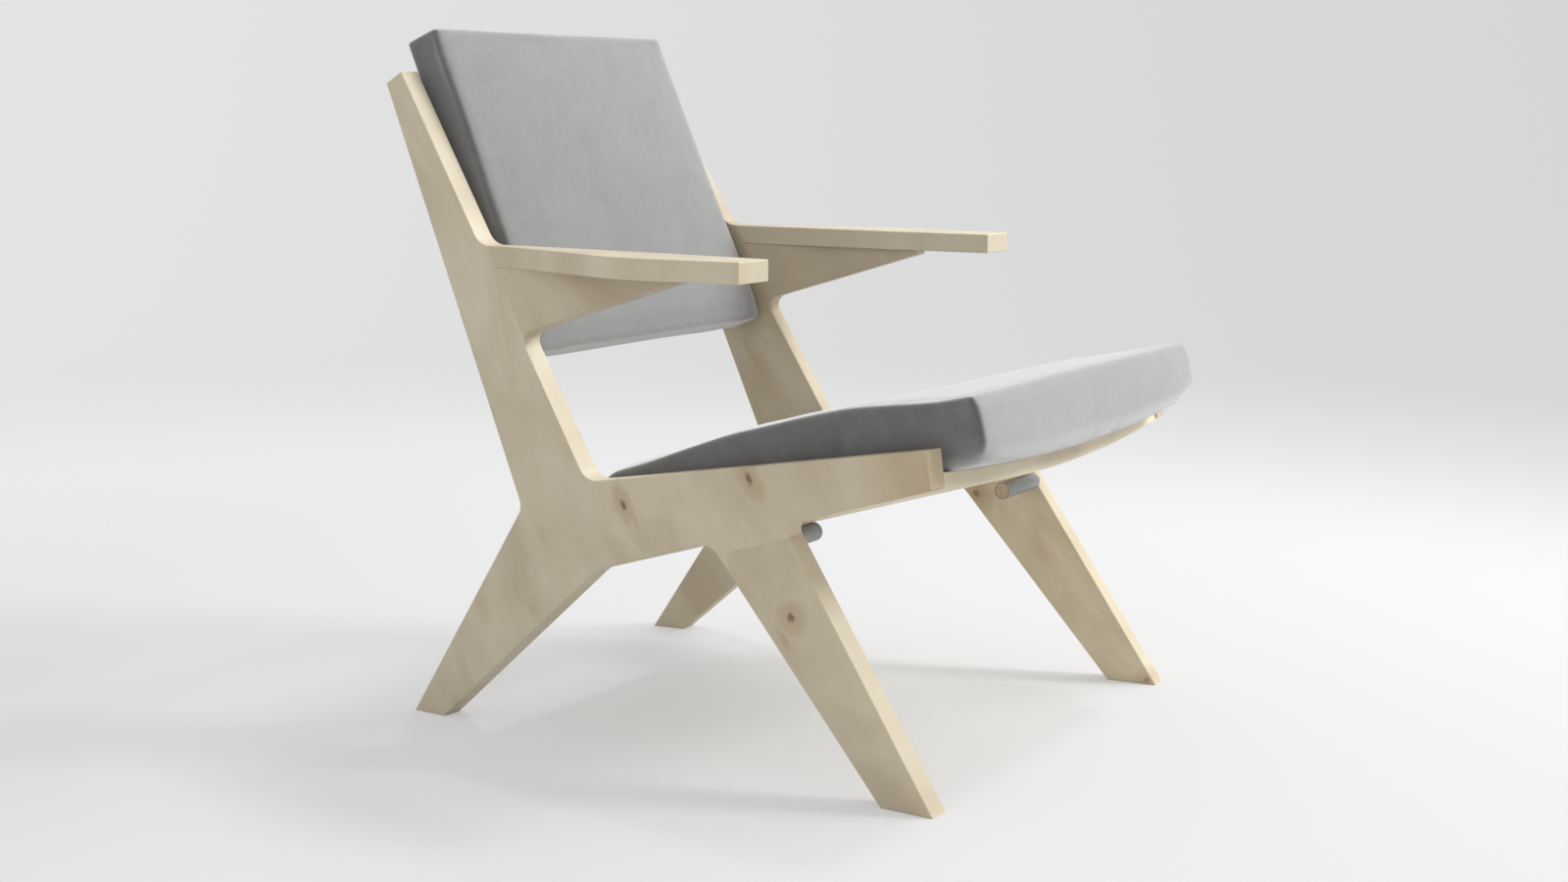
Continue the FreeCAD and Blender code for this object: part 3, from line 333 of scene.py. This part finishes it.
# Knots, smoky patches and two patches of painted shade, by depth and height on
# the side frame, half length along the grain, half width and darkness.
KNOTS_AND_SHADE = {
    "right_side_frame": (
        (0.4225, 0.2987, 0.0072, 0.0036, 1.00),
        (0.2452, 0.3478, 0.0078, 0.0040, 1.00),
        (0.4080, 0.2860, 0.0150, 0.0040, 0.36),
        (0.2330, 0.3370, 0.0150, 0.0085, 0.36),
        (0.4370, 0.2960, 0.0160, 0.0080, 0.20),
        # Painted shade: a small dark mark just above the rear foot, where it meets the floor.
        (0.6852, 0.0194, 0.0036, 0.0026, 0.40),
        (0.5480, 0.2515, 0.0160, 0.0070, 0.22),
        (0.6430, 0.1506, 0.0240, 0.0110, 0.24),
        (0.5587, 0.1583, 0.0120, 0.0090, 0.26),
        # Painted shade: a darker, browner patch over the rail's tip and front end, where the seat
        # cushion's overhang keeps the light off.
        (-0.0300, 0.3650, 0.1200, 0.1100, 0.40),
    ),
    "right_front_leg": (
        (0.1867, 0.1961, 0.0052, 0.0052, 1.00),
        (0.1943, 0.1683, 0.0100, 0.0036, 0.50),
        (0.1985, 0.1935, 0.0070, 0.0060, 0.34),
    ),
    "left_side_frame": (
        (0.6000, 0.4100, 0.0250, 0.0030, 0.45),
        (0.6400, 0.1500, 0.0160, 0.0030, 0.60),
    ),
    "left_front_leg": (
        (0.2593, 0.2382, 0.0060, 0.0050, 0.85),
        (0.0130, 0.0060, 0.0040, 0.0050, 0.75),
        (0.1650, 0.1660, 0.0200, 0.0090, 0.22),
    ),
}


def make_wood():
    """One material for each board, by node"""
    made = {}
    for side in SIDES:
        inward = frame_axes(side)[2]
        # The tones carry painted shade on the far frame and painted light on the legs.
        (frame_tone_and_shade, frame_warmth_and_bounce, leg_tone_and_light), seeds = LOOKS[side]
        knots_and_shade = {
            board: [(on_frame(side, depth, height), *size)
                    for depth, height, *size in KNOTS_AND_SHADE[f"{side}_{board}"]]
            for board in ("side_frame", "front_leg")
        }
        made[f"{side}_side_frame"] = wood(
            f"{side}_frame_wood", frame_direction(side, *UPRIGHT_GRAIN), inward,
            tone_and_shading=frame_tone_and_shade, warmth_and_bounce=frame_warmth_and_bounce, seed=seeds[0], knots_and_shade=knots_and_shade["side_frame"])
        made[f"{side}_front_leg"] = wood(
            f"{side}_leg_wood", frame_direction(side, *LEG_GRAIN), inward,
            tone_and_shading=leg_tone_and_light, seed=seeds[1], knots_and_shade=knots_and_shade["front_leg"])
        made[f"{side}_arm_bracket"] = wood(
            f"{side}_bracket_wood", frame_direction(side, *BRACKET_GRAIN), inward,
            tone_and_shading=0.95, warmth_and_bounce=0.14, figure=1.5, seed=seeds[2])
        made[f"{side}_armrest"] = wood(
            f"{side}_arm_wood", frame_direction(side, *ARMREST_GRAIN), (0, 0, 1), seed=seeds[3])
    # Painted light: the shell's board is much lighter than the others, to lighten its shaded front edge.
    made["seat_shell"] = wood("shell_wood", (1, 0, 0), SHELL_FACE, tone_and_shading=1.30, warmth_and_bounce=0.10, seed=9.0)
    made["back_panel"] = wood("back_wood", (1, 0, 0), PANEL_FACE, seed=10.0)
    return made


def dress_hard_pieces():
    """Cover the boards, rods and sleeves"""
    boards = make_wood()
    by_slot = {"dowel_wood": turned_wood("rod_wood"), "sleeve": satin_sleeve("sleeve_grey")}
    slots = {row["node"]: row["material_slot"] for row in frame["record"]["subparts"]}
    for node, thing in frame["nodes"].items():
        if node in boards:
            cover(thing, boards[node])
        elif slots[node] in by_slot:
            cover(thing, by_slot[slots[node]])


def smooth(low, high, value):
    """Share of the way from low to high, eased at both ends; low may be the larger"""
    share = min(1.0, max(0.0, (value - low) / (high - low)))
    return share * share * (3 - 2 * share)


def mix(first, second, share):
    return first + (second - first) * share


# Cushions. Each is made in its own axes: X across, Y along, Z out of its bed.
GRID_STEP = 0.0055
FEWEST_CELLS = 4
TINY = 1e-9


def box_mesh(half, step):
    """Closed box surface of even cells, -1 to 1 each way, its faces turned outwards"""
    mesh = bmesh.new()
    counts = [max(FEWEST_CELLS, int(round(2 * size / step))) for size in half]
    grid = {}

    def vertex(key):
        if key not in grid:
            grid[key] = mesh.verts.new([2.0 * index / count - 1 for index, count in zip(key, counts)])
        return grid[key]

    def face(*keys):
        mesh.faces.new([vertex(key) for key in keys])

    nx, ny, nz = counts
    for i in range(nx):
        for j in range(ny):
            face((i, j, 0), (i, j + 1, 0), (i + 1, j + 1, 0), (i + 1, j, 0))
            face((i, j, nz), (i + 1, j, nz), (i + 1, j + 1, nz), (i, j + 1, nz))
    for i in range(nx):
        for k in range(nz):
            face((i, 0, k), (i + 1, 0, k), (i + 1, 0, k + 1), (i, 0, k + 1))
            face((i, ny, k), (i, ny, k + 1), (i + 1, ny, k + 1), (i + 1, ny, k))
    for j in range(ny):
        for k in range(nz):
            face((0, j, k), (0, j, k + 1), (0, j + 1, k + 1), (0, j + 1, k))
            face((nx, j, k), (nx, j + 1, k), (nx, j + 1, k + 1), (nx, j, k + 1))
    bmesh.ops.recalc_face_normals(mesh, faces=mesh.faces)
    return mesh


def rounded(point, half, radii):
    """A point on a plain box's surface, moved to round the box's corners and edges

    half is the box's half sizes, radii the rounding of its upright corners, of
    its top edges and of its bottom ones. All are in metres.
    """
    corner, top, bottom = radii
    x, y, z = point
    edge = top if z > 0 else bottom
    # First the upright corners, then the edges of the top and bottom.
    core_x = max(-half[0] + corner, min(half[0] - corner, x))
    core_y = max(-half[1] + corner, min(half[1] - corner, y))
    off = Vector((x - core_x, y - core_y))
    if abs(off.x) > TINY and abs(off.y) > TINY:
        reach = max(abs(off.x), abs(off.y))
        off = off.normalized() * reach
        x, y = core_x + off.x, core_y + off.y
    inset_x, inset_y = half[0] - abs(x), half[1] - abs(y)
    wall = min(inset_x, inset_y)
    drop = half[2] - abs(z)
    if wall < edge and drop < edge:
        # The square of points at the edge becomes a quarter of a circle. Near a
        # corner they are drawn in both ways.
        a, b = 1 - wall / edge, 1 - drop / edge
        length = math.hypot(a, b)
        if length > TINY:
            scale = max(a, b) / length
            pull_wall = edge * (a - a * scale)
            pull_drop = edge * (b - b * scale)
            z -= math.copysign(pull_drop, z)
            x -= math.copysign(pull_wall * max(0.0, 1 - (inset_x - wall) / edge), x)
            y -= math.copysign(pull_wall * max(0.0, 1 - (inset_y - wall) / edge), y)
    return x, y, z


# The bed of the seat cushion is the shell, a hollow of radius DISH.
SEAT_SLOPE = math.radians(16.7)
SEAT_SET_BACK = 0.0105
SEAT_BED_HEIGHT = 0.3582
SEAT_BED = (Matrix.Translation((0, FRONT + SEAT_SET_BACK, SEAT_BED_HEIGHT))
            @ Matrix.Rotation(-SEAT_SLOPE, 4, "X"))
DISH = 3.310
# The seat cushion's two ends along the shell, the height of its sides and the
# height at which the room between the frames is taken.
SEAT_FRONT = -0.0640
SEAT_REAR = 0.494
SEAT_SIDE = 0.0885
SEAT_TOP = 0.101
# How far its features move its surface.
SEAT_ROLL = 0.0100
SEAT_LEAN = 0.0030
SEAT_ASKEW = 0.0052
SEAT_WAIST = 0.0035
SEAT_RISE = 0.0110
SEAT_HUMP = 0.0112
SEAT_CROWN = 0.0008
SEAT_TAIL_LIFT = 0.012
SEAT_TAIL_DROP = 0.020


def shell_rise(x):
    """Height of the hollow shell's face above its middle line, at x across"""
    return x * x / (2 * DISH)


def seat_form(point):
    """From the seat cushion's plain box, -1 to 1, to its form on the shell"""
    sx, sy, sz = point
    share = (sy + 1) / 2
    up = (sz + 1) / 2
    along = mix(SEAT_FRONT, SEAT_REAR, share)
    # The front face leans a little and rolls under; the rear is soft.
    along += SEAT_ROLL * (1 - up) ** 3 * (1 - 0.6 * sx * sx) * smooth(0.10, 0.0, share)
    along += SEAT_LEAN * smooth(0.75, 1.0, up) * smooth(0.06, 0.0, share)
    # The cushion lies a little askew, its far front corner forward.
    along -= SEAT_ASKEW * smooth(-0.2, 1.0, sx) * smooth(0.45, 0.0, share)
    depth = SEAT_SET_BACK + along * math.cos(SEAT_SLOPE) + SEAT_TOP * math.sin(SEAT_SLOPE)
    half = half_room(depth, 0.0020)
    pinch = 1 - (2 * share - 1) ** 6
    half -= SEAT_WAIST * pinch * (1 - (2 * up - 1) ** 2) + 0.001 * pinch
    half -= 0.0020 * smooth(0.88, 1.0, share)
    x = sx * half
    low = 0.0006 + shell_rise(x) + 0.0030 * smooth(0.86, 1.0, abs(sx))
    low += 0.0040 * smooth(0.060, 0.0, share)
    low += SEAT_TAIL_LIFT * smooth(0.93, 1.0, share)
    side = SEAT_SIDE + SEAT_RISE * smooth(0.0, 0.32, share) + 0.0020 * share
    # The near edge stands up more than the far one.
    side += SEAT_HUMP * smooth(0.0, 0.45, share) * smooth(0.95, 0.55, share) * ((1 - sx) / 2) ** 3
    crown = SEAT_CROWN * smooth(0.0, 0.40, share) * smooth(1.03, 0.72, share)
    high = side + crown * (1 - abs(sx) ** 2.4)
    high -= SEAT_TAIL_DROP * smooth(0.90, 1.0, share)
    wave = noise.noise(Vector((x * 9.0, along * 7.0, 3.3)))
    high += 0.0012 * wave * smooth(0.0, 0.1, share)
    return Vector((x, along, mix(low, high, up)))


# The bed of the back cushion is the back panel's front face. The cushion
# stands up above the panel and hangs down below it.
BACK_LEAN = math.radians(22.516)
BACK_PANEL_LENGTH = 0.318
BACK_ABOVE_PANEL = 0.0458
BACK_LENGTH = 0.415
BACK_LOW = BACK_PANEL_LENGTH + BACK_ABOVE_PANEL - BACK_LENGTH
BACK_FOOT = BACK_LOW - 0.002
BACK_HEAD = BACK_LOW + 0.4190
# Its thickness at foot and head, and how far its features move its surface.
BACK_THICK_FOOT = 0.0600
BACK_THICK_HEAD = 0.0535
BACK_CROWN = 0.0048
BACK_WAIST = 0.0030
BACK_SOFT_EDGE = 0.0020


def back_bed():
    """Bed of the back cushion: X across, Y up along the panel, Z forward out of it"""
    up = Vector((0, math.sin(BACK_LEAN), math.cos(BACK_LEAN)))
    out = Vector((0, -math.cos(BACK_LEAN), math.sin(BACK_LEAN)))
    corners = [vert.co for vert in frame["nodes"]["back_panel"].data.vertices]
    face = max(corner.dot(out) for corner in corners)
    foot = min(corner.dot(up) for corner in corners)
    place = out * face + up * foot
    return Matrix((
        (-1, up.x, out.x, place.x),
        (0, up.y, out.y, place.y),
        (0, up.z, out.z, place.z),
        (0, 0, 0, 1),
    ))


BACK_BED = back_bed()


def flat_rise(x):
    """Height of the flat panel's face above its middle line"""
    return 0.0


def back_form(point):
    """From the back cushion's plain box, -1 to 1, to its form on the panel"""
    sx, sy, sz = point
    share = (sy + 1) / 2
    up = (sz + 1) / 2
    along = mix(BACK_FOOT, BACK_HEAD, share)
    depth = (BACK_BED @ Vector((0, along, 0.0))).y - FRONT
    half = half_room(depth, mix(0.0020, 0.0040, smooth(0.0, 0.3, share)))
    pinch = 1 - (2 * share - 1) ** 6
    half -= BACK_WAIST * pinch * (1 - (2 * up - 1) ** 2)
    x = sx * half
    low = 0.0005 + 0.0010 * smooth(0.88, 1.0, abs(sx)) + 0.004 * smooth(0.06, 0.0, share)
    high = mix(BACK_THICK_FOOT, BACK_THICK_HEAD, share)
    high += BACK_CROWN * (1 - abs(sx) ** 3) * (1 - abs(2 * share - 1) ** 3)
    high -= 0.004 * smooth(0.08, 0.0, share)
    # The long edges are softer than the top one.
    high -= BACK_SOFT_EDGE * smooth(0.90, 1.0, abs(sx)) ** 2
    wave = noise.noise(Vector((x * 8.0, along * 8.0, 9.1)))
    high += 0.0008 * wave
    return Vector((x, along, mix(low, high, up)))


def formed_cushion(name, half, radii, form, bed):
    """Object made of a rounded box bent to a cushion's form and laid in its bed"""
    mesh = box_mesh(half, GRID_STEP)
    for vert in mesh.verts:
        vert.co = rounded([part * size for part, size in zip(vert.co, half)], half, radii)
    for vert in mesh.verts:
        vert.co = bed @ form([part / size for part, size in zip(vert.co, half)])
    # The back cushion's bed mirrors the box, so its faces are turned out again.
    bmesh.ops.recalc_face_normals(mesh, faces=mesh.faces)
    return mesh_object(name, mesh)


def apply_all(thing):
    """Bake an object's modifiers into its mesh"""
    graph = bpy.context.evaluated_depsgraph_get()
    data = bpy.data.meshes.new_from_object(thing.evaluated_get(graph))
    thing.modifiers.clear()
    old = thing.data
    thing.data = data
    bpy.data.meshes.remove(old)


# The covers are stiff cloth under a light pressure, and swell this far at most.
COVER_CLOTH = {
    "quality": 5,
    "mass": 0.35,
    "tension_stiffness": 40,
    "compression_stiffness": 40,
    "shear_stiffness": 20,
    "bending_stiffness": 4,
    "use_pressure": True,
    "uniform_pressure_force": 4.0,
}
SWELL_FRAMES = 20
SWELL_CAP = 0.0025


def swell(thing):
    """Blow the cover up a little as cloth, and hold each point to the cap"""
    start = [vert.co.copy() for vert in thing.data.vertices]
    cloth = thing.modifiers.new("cover", "CLOTH")
    for key, value in COVER_CLOTH.items():
        setattr(cloth.settings, key, value)
    cloth.settings.effector_weights.gravity = 0
    cloth.collision_settings.use_collision = False
    cloth.point_cache.frame_start = 1
    cloth.point_cache.frame_end = SWELL_FRAMES
    for step in range(1, SWELL_FRAMES + 1):
        scene.frame_set(step)
    apply_all(thing)
    scene.frame_set(1)
    for vert, old in zip(thing.data.vertices, start):
        move = vert.co - old
        if move.length > SWELL_CAP:
            vert.co = old + move.normalized() * SWELL_CAP


BED_CLEARANCE = 0.0004


def keep_in(thing, bed, bed_rise, side_gap):
    """Hold a cushion off its bed and off the side frames"""
    to_bed = bed.inverted()
    for vert in thing.data.vertices:
        place = to_bed @ vert.co
        place.z = max(place.z, BED_CLEARANCE + bed_rise(place.x))
        world = bed @ place
        room = half_room(world.y - FRONT, side_gap)
        world.x = max(-room, min(room, world.x))
        vert.co = world


# Seams: points per side, how far a seam is felt, the widths of its welt and of
# the valley beside it, and the puckers' waves per metre.
SEAM_POINTS = 160
SEAM_REACH = 0.020
WELT_WIDTH = 0.0032
VALLEY_OFF = 0.009
VALLEY_WIDTH = 0.0045
VALLEY_SHARE = 0.55
PUCKERS = 55.0


def seams(thing, half, radii, form, bed, welt):
    """Draw the cover in to a fine welt along its sewn edges, with slight puckers"""
    to_bed = bed.inverted()
    inset = 1 - 0.30 * radii[1] / min(half[0], half[1])
    points = []
    for level in (0.985, -0.985):
        for side in range(4):
            for step in range(SEAM_POINTS):
                run = -1 + 2 * step / SEAM_POINTS
                corner = ((run, -1), (1, run), (-run, 1), (-1, -run))[side]
                points.append(form((corner[0] * inset, corner[1] * inset, level)))
    tree = KDTree(len(points))
    for index, point in enumerate(points):
        tree.insert(point, index)
    tree.balance()
    normals = [vert.normal.copy() for vert in thing.data.vertices]
    for vert, normal in zip(thing.data.vertices, normals):
        near, _, distance = tree.find(to_bed @ vert.co)
        if distance > SEAM_REACH:
            continue
        pucker = 0.6 + 0.6 * noise.noise(near * PUCKERS)
        ridge = math.exp(-(distance / WELT_WIDTH) ** 2) * welt * pucker
        valley = math.exp(-((distance - VALLEY_OFF) / VALLEY_WIDTH) ** 2) * welt * VALLEY_SHARE * pucker
        vert.co += normal * (ridge - valley)


def make_cushion(name, node, body, half, radii, form, bed, bed_rise, side_gap, welt, fabric):
    thing = formed_cushion(name, half, radii, form, bed)
    swell(thing)
    keep_in(thing, bed, bed_rise, side_gap)
    calm = thing.modifiers.new("calm", "SMOOTH")
    calm.factor = 0.5
    calm.iterations = 1
    apply_all(thing)
    seams(thing, half, radii, form, bed, welt)
    keep_in(thing, bed, bed_rise, side_gap)
    finer = thing.modifiers.new("finer", "SUBSURF")
    finer.levels = 1
    finer.render_levels = 1
    apply_all(thing)
    for face in thing.data.polygons:
        face.use_smooth = True
    cover(thing, fabric)
    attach(thing, body)
    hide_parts(node)
    return thing


# Camera, fitted to the photograph's feet, rails, uprights and armrests. The
# angles are in degrees.
CAMERA_LENS = 52.687
CAMERA_PLACE = (-2.50495, -1.40682, 0.76869)
CAMERA_TURN = -60.4346
CAMERA_TILT = 8.5361
CAMERA_ROLL = 0.5581


def make_camera():
    """The photograph's own viewpoint and lens"""
    data = bpy.data.cameras.new("camera")
    data.sensor_fit = "HORIZONTAL"
    data.sensor_width = 36.0
    data.lens = CAMERA_LENS
    data.clip_start = 0.05
    data.clip_end = 100.0
    camera = add_object("camera", data)
    turn = (Matrix.Rotation(math.radians(CAMERA_TURN), 4, "Z")
            @ Matrix.Rotation(math.radians(90 - CAMERA_TILT), 4, "X")
            @ Matrix.Rotation(math.radians(CAMERA_ROLL), 4, "Z"))
    camera.matrix_world = Matrix.Translation(CAMERA_PLACE) @ turn
    scene.camera = camera


# The studio: a round floor that bends up into a wall.
FLOOR_RADIUS = 4.2
CYC_RADIUS = 2.6
WALL_TOP = 9.0
SPOKES = 96
BEND_STEPS = 12
# Its paper, lit by the lamps, and a painted glow for the camera: it takes over
# further out and is laid at 40% over the floor near the chair, painting light
# into the chair's shadows. The glow is brighter near the middle, painted light,
# and greyer one way, painted shade.
PAPER = (0.665, 0.667, 0.670, 1)
GLOW_NEAR = (0.860, 0.862, 0.865, 1)
GLOW_PALE = (0.780, 0.782, 0.784, 1)
GLOW_GREY = (0.665, 0.668, 0.672, 1)
GLOW_SHARE = (0.40, 1.0)
GLOW_SHARE_RADII = (1.2, 2.6)
GLOW_NEAR_RADII = (1.4, 4.0)
# The way towards which the glow gets greyer, a painted shade, and from where to where.
GREY_WAY = (0.49, -0.87, 0.0)
GREY_RANGE = (-4.0, 3.6)


def paper(name):
    """Studio paper: shaded where the chair stands, with a painted glow for the camera that lightens
    those shadows and is all there is far out
    """
    tree = Tree(name)
    place = tree.place()
    spread = tree.add("ShaderNodeVectorMath", {0: place, 1: (1.0, 1.0, 0.0)}, operation="MULTIPLY")
    radius = tree.add("ShaderNodeVectorMath", {0: spread}, out="Value", operation="LENGTH")
    share = tree.ramp(radius, *GLOW_SHARE_RADII, *GLOW_SHARE)
    seen = tree.add("ShaderNodeLightPath", out="Is Camera Ray")
    shine = tree.add("ShaderNodeLightPath", out="Is Glossy Ray")
    lit = tree.maths("MULTIPLY", share, tree.maths("ADD", seen, shine, clamp=True))
    glow = tree.blend(tree.ramp(tree.dot(place, GREY_WAY), *GREY_RANGE), GLOW_PALE, GLOW_GREY)
    glow = tree.blend(tree.ramp(radius, *GLOW_NEAR_RADII), GLOW_NEAR, glow)
    glowing = tree.add("ShaderNodeEmission", {"Color": glow, "Strength": 1.0})
    both = tree.add("ShaderNodeMixShader", {0: lit, 1: tree.shader.outputs[0], 2: glowing})
    tree.put(tree.nodes["Material Output"].inputs["Surface"], both)
    return tree.finish(PAPER, Roughness=1.0, Specular_IOR_Level=0.0)


def ring_mesh(name, profile, closed):
    """Surface of revolution over radius and height pairs, its first ring filled if closed"""
    mesh = bmesh.new()
    angles = [2 * math.pi * spoke / SPOKES for spoke in range(SPOKES)]
    rings = [[mesh.verts.new((radius * math.cos(angle), radius * math.sin(angle), height))
              for angle in angles] for radius, height in profile]
    if closed:
        mesh.faces.new(rings[0])
    for inner, outer in zip(rings, rings[1:]):
        for spoke in range(SPOKES):
            after = (spoke + 1) % SPOKES
            mesh.faces.new([inner[spoke], inner[after], outer[after], outer[spoke]])
    thing = mesh_object(name, mesh)
    for face in thing.data.polygons:
        face.use_smooth = len(face.vertices) == 4
    return thing


def make_stage():
    """A pale studio floor that turns up far away, its shape the same from every side"""
    floor = ring_mesh("studio_floor", [(FLOOR_RADIUS, 0.0)], True)
    bend = []
    for step in range(BEND_STEPS + 1):
        angle = math.pi / 2 * step / BEND_STEPS
        bend.append((FLOOR_RADIUS + CYC_RADIUS * math.sin(angle),
                     CYC_RADIUS * (1 - math.cos(angle))))
    bend.append((FLOOR_RADIUS + CYC_RADIUS, WALL_TOP))
    wall = ring_mesh("studio_wall", bend, False)
    # The wall is only a backdrop: the room's light passes through it.
    wall.visible_diffuse = False
    wall.visible_shadow = False
    wall.visible_transmission = False
    material = paper("studio_paper")
    for thing in (floor, wall):
        cover(thing, material)


# Soft boxes by place, width, height and power, all aimed at one spot.
LAMPS = {
    "front": ((2.73, -4.70, 4.30), 1.6, 1.4, 158),
    "side": ((4.35, -2.55, 4.30), 6.5, 1.8, 190),
    "high": ((1.45, -0.80, 3.60), 0.35, 0.35, 22),
}
AIM = (0, 0, 0.3)
ROOM_COLOUR = (0.99, 0.995, 1.0, 1)
ROOM_STRENGTH = 0.74


def make_light():
    """Soft boxes at the front and front left, a small high one, and a pale room"""
    for name, (place, width, height, power) in LAMPS.items():
        data = bpy.data.lights.new(name, "AREA")
        data.shape = "RECTANGLE"
        data.size = width
        data.size_y = height
        data.energy = power
        lamp = add_object(name, data)
        lamp.location = place
        lamp.rotation_euler = (Vector(AIM) - Vector(place)).to_track_quat("-Z", "Y").to_euler()
        lamp.visible_camera = False
    world = bpy.data.worlds.new("room")
    world.use_nodes = True
    scene.world = world
    ground = world.node_tree.nodes["Background"]
    ground.inputs["Color"].default_value = ROOM_COLOUR
    ground.inputs["Strength"].default_value = ROOM_STRENGTH


dress_hard_pieces()
seat = make_cushion(
    name="seat_cushion_soft",
    node="seat_cushion",
    body="loose_seat_cushion",
    half=(0.308, 0.278, 0.045),
    radii=(0.005, 0.007, 0.024),
    form=seat_form,
    bed=SEAT_BED,
    bed_rise=shell_rise,
    side_gap=0.0015,
    welt=0.0004,
    fabric=velour("seat_velour"),
)
back = make_cushion(
    name="back_cushion_soft",
    node="back_cushion",
    body="loose_back_cushion",
    half=(0.265, 0.207, 0.027),
    radii=(0.004, 0.007, 0.004),
    form=back_form,
    bed=BACK_BED,
    bed_rise=flat_rise,
    side_gap=0.0012,
    welt=0.0002,
    fabric=velour("back_velour"),
)
make_camera()
make_stage()
make_light()
scene.view_settings.view_transform = "Standard"
